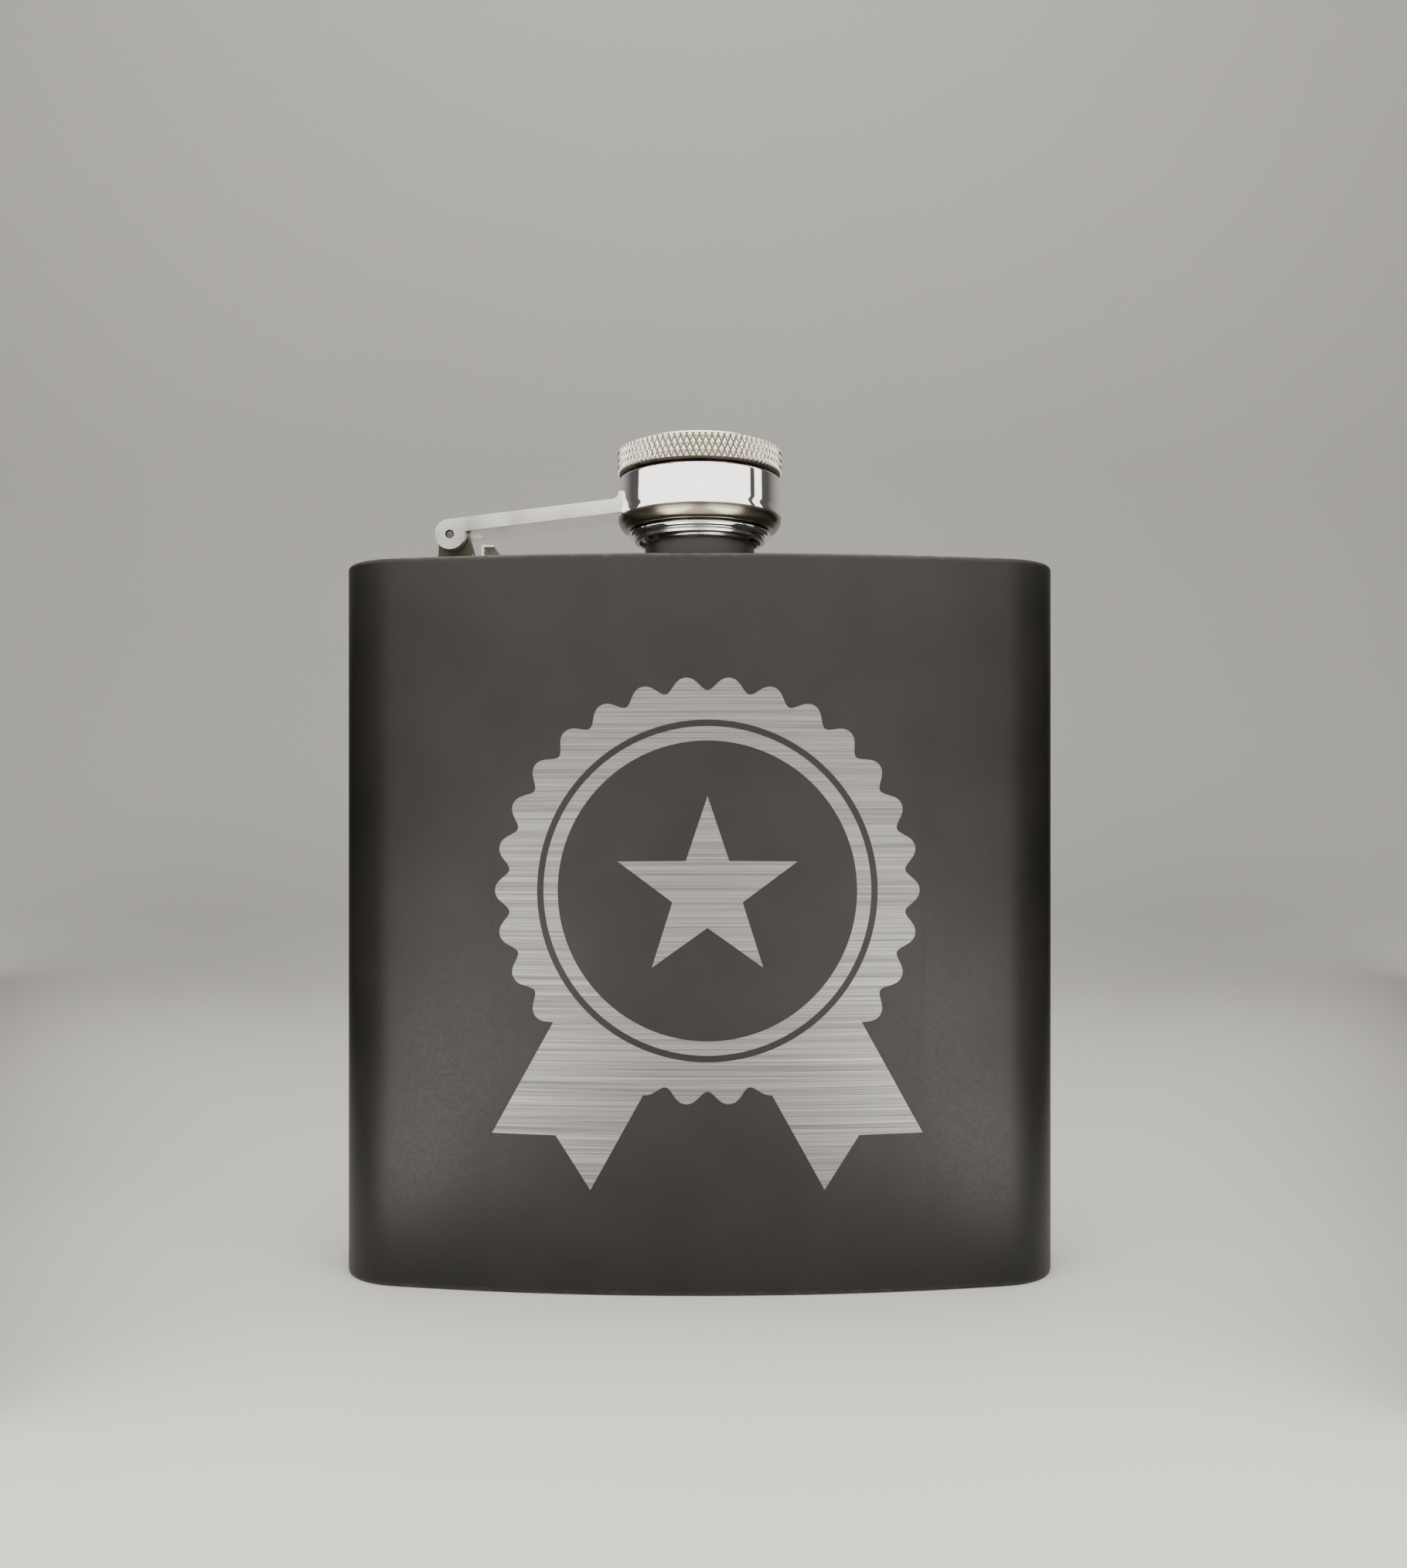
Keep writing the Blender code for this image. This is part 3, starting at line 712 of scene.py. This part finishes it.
neckShape = {
    "radius": 0.0072,
    "bore": 0.0049,
    "flangeRadius": 0.0088,
    "flange": (-0.0016, -0.0009),
    "coatTop": 0.0028,
    "shoulder": 0.0029,
    "top": 0.010,
    "crest": 0.0067,
    "threadDepth": 0.0006,
    "threadStart": 0.0004,
    "threadEnd": 0.0006,
    "ridge": (0.62, 0.75),
    "pitch": 0.0018,
    "round": 0.0003,
    "boreRound": 0.0002,
    "corner": 0.0001,
    "roundSteps": 4,
    "steps": 144,
    "rows": 72,
}
poleRadius = 0.0001  # a turned solid closes with a flat this small on its axis


def threadRule(crest, inward, low, high):
    # a helix: the radius leaves the crest by the thread's depth as the phase height / pitch - angle / turn
    # leaves a whole number; the ridge, mean + swing * cos(phase), is cut off flat and fades at both ends
    def rule(radii, angles, heights):
        phase = 2 * math.pi * heights / neckShape["pitch"] - angles
        mean, swing = neckShape["ridge"]
        ridge = np.clip(mean + swing * np.cos(phase), 0, 1)
        fade = np.clip(np.minimum(heights - low, high - heights) / neckShape["pitch"], 0, 1)
        depth = neckShape["threadDepth"] * (1 - ridge * fade)
        turned = crest + depth if inward else crest - depth
        root = crest + neckShape["threadDepth"] * (1 if inward else -1)
        onThread = (heights > low) & (heights < high) & (np.abs(radii - root) < 1e-6)
        return np.where(onThread, turned, radii)
    return rule


def makeNeck(finish):
    # the section runs up outside, flange, coated shoulder and thread, then over the rim and down the bore
    shape = neckShape
    bottom, flangeTop = shape["flange"]
    root = shape["crest"] - shape["threadDepth"]
    low, high = shape["shoulder"] + shape["threadStart"], shape["top"] - shape["threadEnd"]
    edge, lip, corner, steps = shape["round"], shape["boreRound"], shape["corner"], shape["roundSteps"]
    outer = arcPoints(edge, 0, math.pi / 2, steps)
    inner = arcPoints(lip, 0, math.pi / 2, steps)[::-1]
    profile = [(shape["flangeRadius"], bottom), (shape["flangeRadius"], flangeTop)]
    profile += [(shape["radius"], flangeTop), (shape["radius"], shape["shoulder"] - edge)]
    profile += [(shape["radius"] - edge + x, shape["shoulder"] - edge + z) for x, z in outer[1:]]
    profile += [(root + corner, shape["shoulder"]), (root, shape["shoulder"] + corner)]
    profile += [(root, height) for height in np.linspace(low, high, shape["rows"])]
    profile += [(root - edge + x, shape["top"] - edge + z) for x, z in outer]
    profile += [(shape["bore"] + lip - x, shape["top"] - lip + z) for x, z in inner]
    profile += [(shape["bore"], bottom)]
    neck = turnedPiece("neck_tube", profile, shape["steps"], finish,
                       threadRule(shape["crest"], False, low, high), sharp=50)
    finished(neck, "flask", "black_coat", "neck")


headShape = {
    "radius": 0.0108,
    "bottom": 0.0119,
    "top": 0.01535,
    "round": 0.0003,
    "knurlDepth": 0.0003,
    "knurlCount": 84,
    "knurlColumns": 14,
    "knurlLean": math.radians(24),
    "knurlSlope": 2.2,
    "knurlEdge": 0.00015,
    "edgeStart": 0.22,
    "chamfer": 0.0002,
    "cavity": 0.0087,
    "cavityTop": 0.0147,
}
sleeveShape = {
    "radius": 0.0086,
    "bottom": 0.0032,
    "top": 0.0146,
    "roof": 0.0114,
    "crest": 0.0073,
    "threadTop": 0.0099,
    "threadStart": 0.0003,
    "groove": (0.00373, 0.00465),
    "grooveDepth": 0.00025,
    "chamfer": 0.0001,
    "topChamfer": 0.0003,
}
collarShape = {
    "bore": 0.0089,
    "radius": 0.0106,
    "lipRadius": 0.01075,
    "footRadius": 0.00955,
    "bottom": 0.00466,
    "lip": 0.00640,
    "flare": 0.0012,
    "top": 0.01155,
    "round": 0.0004,
    "chamfer": 0.00012,
    "steps": 256,
}
ringShape = {"inner": 0.00842, "radius": 0.00935, "low": 0.0038, "high": 0.00458, "steps": 192}
gasketShape = {"radius": 0.0078, "bead": 0.0045, "step": 0.0002, "low": 0.0101, "high": 0.0113, "steps": 96}


def makeHead(finish):
    # the knurl is two crossing sets of V grooves: its height is the smaller of two triangle waves, whose
    # phases turn one way and the other by one column per row, and it is cut off flat to leave broad diamonds
    shape = headShape
    low, high = shape["bottom"] + shape["chamfer"], shape["top"] - shape["round"]
    column = 2 * math.pi / shape["knurlCount"] / shape["knurlColumns"]
    rows = round((high - low) * math.tan(shape["knurlLean"]) / (column * shape["radius"])) + 1
    turnRate = column * (rows - 1) / (high - low)
    count = shape["knurlCount"] / (2 * math.pi)

    def triangle(phase):
        return np.abs(2 * (phase - np.floor(phase)) - 1)

    def rule(radii, angles, heights):
        turn = turnRate * (heights - low)
        diamond = np.minimum(triangle(count * (angles + turn)), triangle(count * (angles - turn)))
        diamond = np.minimum(diamond * shape["knurlSlope"], 1)
        edge = np.clip((heights - low) / shape["knurlEdge"], 0, 1)
        knurled = shape["radius"] - shape["knurlDepth"] * (1 - diamond * edge)
        return np.where((heights >= low - 1e-9) & (radii > shape["radius"] - 1e-6), knurled, radii)

    root = shape["radius"] - shape["knurlDepth"]
    profile = [(poleRadius, shape["cavityTop"]), (shape["cavity"], shape["cavityTop"])]
    profile += [(shape["cavity"], shape["bottom"]), (root - shape["chamfer"], shape["bottom"])]
    profile += [(shape["radius"], height) for height in np.linspace(low, high, rows)]
    inner = root - shape["round"]
    profile += [(inner + x, high + z)
                for x, z in arcPoints(shape["round"], shape["edgeStart"], math.pi / 2, 10)]
    profile += [(inner * t, shape["top"]) for t in (0.8, 0.5, 0.2)]
    profile += [(poleRadius, shape["top"])]
    head = turnedPiece("cap_knurled_head", profile, shape["knurlCount"] * shape["knurlColumns"], finish,
                       rule, solid=True, sharp=40)
    finished(head, "cap", "bare_steel", "cap_head")


def makeSleeve(finish):
    # the section runs out along the roof, down the inner thread, and up outside past the keeper's groove
    shape = sleeveShape
    root = shape["crest"] + neckShape["threadDepth"]
    low, high = shape["bottom"] + shape["threadStart"], shape["threadTop"]
    grooveLow, grooveHigh = shape["groove"]
    groove = shape["radius"] - shape["grooveDepth"]
    small, broad = shape["chamfer"], shape["topChamfer"]
    profile = [(poleRadius, shape["roof"]), (root, shape["roof"])]
    profile += [(root, height) for height in np.linspace(high, low, neckShape["rows"])]
    profile += [(root + small, shape["bottom"]), (shape["radius"] - small, shape["bottom"])]
    profile += [(shape["radius"], shape["bottom"] + small), (shape["radius"], grooveLow)]
    profile += [(groove, grooveLow), (groove, grooveHigh)]
    profile += [(shape["radius"], grooveHigh), (shape["radius"], shape["top"] - broad)]
    profile += [(shape["radius"] - broad, shape["top"]), (poleRadius, shape["top"])]
    sleeve = turnedPiece("cap_thread_sleeve", profile, neckShape["steps"], finish,
                         threadRule(shape["crest"], True, low, high), solid=True, sharp=50)
    finished(sleeve, "cap", "bare_steel", "cap_sleeve")


def makeGasket(finish):
    # a disc whose middle is a step thinner, with a quarter-round edge where the sealing rim begins
    shape = gasketShape
    bead, step, low, high = shape["bead"], shape["step"], shape["low"], shape["high"]
    profile = [(poleRadius, low + step), (bead - step, low + step)]
    profile += [(bead + step - x, low + step - z) for x, z in arcPoints(step, 0, math.pi / 2, 4)]
    profile += [(shape["radius"] - step, low), (shape["radius"], low + step)]
    profile += [(shape["radius"], high), (poleRadius, high)]
    gasket = turnedPiece("cap_gasket_disc", profile, shape["steps"], finish, solid=True)
    finished(gasket, "cap", "gasket", "cap_gasket")


def makeCollar(finish):
    # the band's section: a bore, a foot, a quarter ellipse out to the lip, half a cosine wave in to the
    # straight band, and its round top edge
    shape = collarShape
    rise, reach = shape["lip"] - shape["bottom"], shape["lipRadius"] - shape["footRadius"]
    small = shape["chamfer"]
    profile = [(shape["bore"], shape["top"] - small), (shape["bore"], shape["bottom"] + small)]
    profile += [(shape["bore"] + small, shape["bottom"])]
    profile += [(shape["footRadius"] + reach * math.cos(angle), shape["lip"] + rise * math.sin(angle))
                for angle in np.linspace(-math.pi / 2, 0, 17)]
    profile += [(shape["radius"] + (shape["lipRadius"] - shape["radius"]) * (1 + math.cos(math.pi * t)) / 2,
                 shape["lip"] + shape["flare"] * t) for t in np.linspace(0, 1, 9)[1:]]
    profile += [(shape["radius"], shape["top"] - shape["round"])]
    profile += [(shape["radius"] - shape["round"] + x, shape["top"] - shape["round"] + z)
                for x, z in arcPoints(shape["round"], 0, math.pi / 2, 8)[1:]]
    profile += [(shape["bore"] + small, shape["top"])]
    collar = turnedPiece("collar_band", profile, shape["steps"], finish)
    finished(collar, "arm", "polished_steel", "cap_collar")


def makeRing(finish):
    # the keeper's section is flat inside and a half circle outside
    shape = ringShape
    half, middle = (shape["high"] - shape["low"]) / 2, (shape["high"] + shape["low"]) / 2
    profile = [(shape["inner"], shape["high"]), (shape["inner"], shape["low"])]
    profile += [(shape["radius"] - half + x, middle + z)
                for x, z in arcPoints(half, -math.pi / 2, math.pi / 2, 14)]
    ring = turnedPiece("collar_keeper", profile, shape["steps"], finish)
    finished(ring, "cap", "polished_steel", "collar_ring")


hingeShape = {
    "eyeRadius": 0.00195,
    "bore": 0.00058,
    "underside": 0.00015,
    "slope": math.radians(7),
    "armWidth": 0.007,
    "fillet": 0.0009,
    "weldGap": 0.00002,
    "slot": 0.0029,
    "slotReach": 0.0035,
    "slotTall": 0.006,
    "cutterLength": 0.02,
    "edge": 0.00016,
    "footEdge": 0.0001,
    "pinRadius": 0.00052,
    "pinLength": 0.0066,
    "pinDome": 0.00022,
    "pinPole": 0.00002,
    "pinSteps": 48,
    "sheet": 0.0006,
    "footWidth": 0.006,
    "footLeft": -0.0362,
    "footRight": -0.028,
    "webRight": -0.0293,
    "tabTop": 0.0025,
    "tabReach": 0.0013,
    "tabSheet": 0.00035,
    "knuckle": 0.0026,
    "knuckleArc": (math.radians(15), math.radians(200)),
    "overlap": 0.0003,
    "lift": 0.00006,
}


def makeArm(finish):
    # the strap in profile leaves a round eye along its top, and flares up where it meets the collar; it is
    # tilted about the pin, bored, slotted for the middle knuckle and cut to the collar's round
    shape = hingeShape
    length = neckAxis[0] - pinCentre[0]
    stop = 2 * math.pi + math.asin(shape["underside"] / shape["eyeRadius"])
    eye = arcPoints(shape["eyeRadius"], math.pi / 2, stop, 64)
    fillet = shape["fillet"]
    flareEnd = length - math.sqrt(collarShape["radius"] ** 2 - (shape["armWidth"] / 2) ** 2)
    over = length - collarShape["bore"]
    tip = ((over, shape["underside"]), (over, shape["eyeRadius"] + fillet))
    flare = arcPoints(fillet, 0, -math.pi / 2, 10, (flareEnd - fillet, shape["eyeRadius"] + fillet))
    loop = np.vstack((eye, tip, flare))
    cosine, sine = math.cos(shape["slope"]), math.sin(shape["slope"])
    loop = loop @ np.array(((cosine, sine), (-sine, cosine))) + pinCentre[[0, 2]]
    arm = extrudedPiece("hinge_strap", loop, shape["armWidth"], finish)
    reach, tall = shape["slotReach"], shape["slotTall"]
    box = np.array(((-reach, -tall), (reach, -tall), (reach, tall), (-reach, tall))) + pinCentre[[0, 2]]
    cut(arm, extrudedPiece("slotCutter", box, shape["slot"], finish))
    clear, long = collarShape["radius"] + shape["weldGap"], shape["cutterLength"]
    collar = turnedPiece("collarCutter", ((clear, 0), (clear, long)), collarShape["steps"], finish,
                         solid=True)
    cut(arm, collar)
    bore = extrudedPiece("eyeCutter", arcPoints(shape["bore"], 0, 2 * math.pi, 48, pinCentre[[0, 2]])[:-1],
                         long, finish)
    cut(arm, bore)
    softened(applied(arm), shape["edge"])
    finished(arm, "arm", "polished_steel", "hinge_arm")
    print("arm", len(arm.data.polygons))


def makeBracket(finish):
    # the foot in profile with its turned-up tab, joined to the middle knuckle, and bored for the pin
    shape = hingeShape
    low = plateTop + shape["lift"]
    high = low + shape["sheet"]
    tabTop = plateTop + shape["tabTop"]
    under = tabTop - shape["tabSheet"]
    leg = shape["footRight"] - shape["tabSheet"]
    tip = shape["footRight"] + shape["tabReach"]
    outline = ((shape["footLeft"], low), (shape["footRight"], low), (shape["footRight"], under), (tip, under),
               (tip, tabTop), (leg, tabTop), (leg, high), (shape["footLeft"], high))
    foot = extrudedPiece("hinge_foot", outline, shape["footWidth"], finish)
    eye = arcPoints(shape["eyeRadius"], *shape["knuckleArc"], 40, pinCentre[[0, 2]])
    sunk = high - shape["overlap"]
    web = ((pinCentre[0] - shape["eyeRadius"], sunk), (shape["webRight"], sunk))
    cut(foot, extrudedPiece("knuckle", np.vstack((eye, web)), shape["knuckle"], finish), "UNION")
    bore = extrudedPiece("boreCutter", arcPoints(shape["bore"], 0, 2 * math.pi, 36, pinCentre[[0, 2]])[:-1],
                         shape["footWidth"], finish)
    cut(foot, bore)
    softened(applied(foot), shape["footEdge"], 2)
    finished(foot, "flask", "bare_steel", "hinge_bracket")


def makePin(finish):
    # a turned pin with domed ends: its radius follows a quarter circle over each end
    shape = hingeShape
    radius, half = shape["pinRadius"], shape["pinLength"] / 2
    dome, steps = shape["pinDome"], shape["pinSteps"]
    stations = [(radius - dome + x, half - dome + z) for x, z in arcPoints(dome, 0, math.pi / 2, 6)]
    stations += [(radius * 0.3, half), (shape["pinPole"], half)]
    profile = np.array([(r, -z) for r, z in stations[::-1]] + stations)
    angles = np.linspace(0, 2 * math.pi, steps, endpoint=False)[None, :]
    points = np.stack((pinCentre[0] + profile[:, :1] * np.cos(angles),
                       np.repeat(pinCentre[1] + profile[:, 1:], steps, axis=1),
                       pinCentre[2] - profile[:, :1] * np.sin(angles)), axis=-1).reshape(-1, 3)
    pin = meshPiece("hinge_rivet_pin", points, closedFaces(len(profile), steps), finish)
    finished(pin, "flask", "bare_steel", "hinge_pin")


cameraSetup = {
    "place": (0.0005, -0.186, 0.0587),
    "sensor": 36,
    "lens": 32.02,
    "shiftY": 0.0256,
    "nearest": 0.005,
}
stageSetup = {
    "halfWidth": 1.2,
    "front": -1.0,
    "floorRows": (-0.6, 0.25, 8),
    "back": 0.55,
    "wallRadius": 0.25,
    "wallTop": 1.4,
    "fade": (0.0, 0.4),
    "nearTone": (0.80, 0.79, 0.77),
    "farTone": (0.30, 0.296, 0.29),
    "cloudTone": (0.4, 0.4, 0.4),
}
lightSetup = {
    "room": 0.10,
    "roomTone": (0.95, 0.93, 0.9, 1),
    "paleRoom": 0.42,
    "reach": 0.6,
    "high": (0.47, 0.46),
    "low": (0.02, 0.036),
    "bank": (("bankLeft", -96, -38, "high", 3.1), ("bankMiddle", -38, 20, "high", 3.2),
             ("bankRight", 20, 76, "high", 3.1), ("bankStrip", 84, 98, "high", 3.1),
             ("lowLeft", -58, -10, "low", 7.0), ("lowRight", 10, 58, "low", 7.0)),
    "table": {"middle": (0.125, -0.15), "size": (0.16, 0.25), "lift": 0.002, "glow": 5.4},
    "warm": (1, 0.965, 0.91),
    "topSize": 0.8,
    "topHeight": 1.0,
    "topPlace": -0.05,
    "topGlow": 6.0,
    "flagNear": (0.0735, -0.052),
    "flagFar": (0.265, 0.32),
    "flagTall": 0.118,
}


def stageMaterial(name, near, far):
    # a matte surface that shades from one tone near the flask to another behind it
    result, tree, shader = newMaterial(name, near, 0.6, 0.0)
    back = spread(tree, axisAt(tree, "Y"), *stageSetup["fade"], 0, 1)
    cloud = spread(tree, noise(tree, 8, 2), 0.3, 0.8, 0, 0.06)
    base = mixColors(tree, back, near, far)
    tree.links.new(mixColors(tree, cloud, base, stageSetup["cloudTone"]), shader.inputs["Base Color"])
    return result


def makeStage():
    # floor and backdrop in one sweep: flat, a quarter circle, then upright
    shape = stageSetup
    bend = (shape["back"] - shape["wallRadius"], shape["wallRadius"])
    turn = arcPoints(shape["wallRadius"], -math.pi / 2, 0, 16, bend)
    flat = [(row, 0) for row in np.linspace(*shape["floorRows"])]
    path = np.vstack(((shape["front"], 0), flat, turn, (shape["back"], shape["wallTop"])))
    left = np.column_stack((np.full(len(path), -shape["halfWidth"]), path))
    right = np.column_stack((np.full(len(path), shape["halfWidth"]), path))
    count = len(path)
    faces = [(i, i + count, i + count + 1, i + 1) for i in range(count - 1)]
    finish = stageMaterial("paleFloor", shape["nearTone"], shape["farTone"])
    meshPiece("pale_floor", np.vstack((left, right)), faces, finish)


def areaLight(name, place, target, size, glow):
    # a soft panel that faces its target and that no camera sees; its power is glow * pi * area
    data = bpy.data.lights.new(name, "AREA")
    data.shape = "RECTANGLE"
    data.size, data.size_y = size
    data.energy = glow * math.pi * size[0] * size[1]
    data.color = lightSetup["warm"]
    light = bpy.data.objects.new(name, data)
    bpy.context.scene.collection.objects.link(light)
    light.location = place
    light.rotation_euler = (Vector(target) - Vector(place)).to_track_quat("-Z", "Y").to_euler()
    light.visible_camera = False


def makeLights():
    # a wide bank of soft panels round the front with a narrow strip at its right end, low panels and two on
    # the table that leave the middle darker, and a soft light overhead; the camera sees a paler room
    world = bpy.data.worlds.new("softRoom")
    bpy.context.scene.world = world
    world.use_nodes = True
    background = world.node_tree.nodes["Background"]
    shape = lightSetup
    background.inputs["Color"].default_value = shape["roomTone"]
    ray = addNode(world.node_tree, "ShaderNodeLightPath")
    seen = mixValues(world.node_tree, ray.outputs["Is Camera Ray"], shape["room"], shape["paleRoom"])
    world.node_tree.links.new(seen, background.inputs["Strength"])
    for name, start, stop, level, glow in shape["bank"]:
        height, tall = shape[level]
        centre = np.array((0, 0, height))
        middle, half = math.radians((start + stop) / 2), math.radians((stop - start) / 2)
        away = np.array((math.sin(middle), -math.cos(middle), 0)) * shape["reach"]
        size = (2 * shape["reach"] * math.tan(half), tall)
        areaLight(name, centre + away, centre, size, glow)
    table = shape["table"]
    for name, side in (("tableLeft", -1), ("tableRight", 1)):
        x, y = table["middle"]
        areaLight(name, (side * x, y, table["lift"]), (side * x, y, 1), table["size"], table["glow"])
    top, size = shape["topPlace"], (shape["topSize"], shape["topSize"])
    areaLight("overhead", (0, top, shape["topHeight"]), (0, top, 0), size, shape["topGlow"])


def makeFlags():
    # black cards on both sides keep the rounded sides dark; like the lights, no camera sees them
    black = newMaterial("blackCard", (0.004, 0.004, 0.004), 0.9, 0.0, Specular_IOR_Level=0.0)[0]
    near, far, tall = lightSetup["flagNear"], lightSetup["flagFar"], lightSetup["flagTall"]
    for side in (-1, 1):
        corners = [(side * x, y, z) for (x, y), z in ((near, 0), (far, 0), (far, tall), (near, tall))]
        card = meshPiece("black_card", corners, [(0, 1, 2, 3)], black)
        card.visible_camera = False


def makeCamera():
    # level, in front of the flask, with its lens shifted up
    data = bpy.data.cameras.new("frontView")
    data.sensor_width = cameraSetup["sensor"]
    data.lens = cameraSetup["lens"]
    data.shift_y = cameraSetup["shiftY"]
    data.clip_start = cameraSetup["nearest"]
    camera = bpy.data.objects.new("frontView", data)
    bpy.context.scene.collection.objects.link(camera)
    camera.location = cameraSetup["place"]
    camera.rotation_euler = (math.pi / 2, 0, 0)
    bpy.context.scene.camera = camera


makeBody(powderCoat(True), engravedSteel())
makePlates(powderCoat(False))
makeNeck(neckSteel())
print("flask, plates and neck made")
makeHead(knurledSteel())
makeSleeve(polishedSteel("turnedSteel"))
makeGasket(siliconeRubber())
makeCollar(collarSteel())
makeRing(polishedSteel("brightSteel"))
print("cap made")
makeArm(polishedSteel("strapSteel"))
makeBracket(hingeSteel())
makePin(polishedSteel("pinSteel"))
print("hinge made")
makeStage()
makeLights()
makeFlags()
makeCamera()
print("stage, lights and camera made")
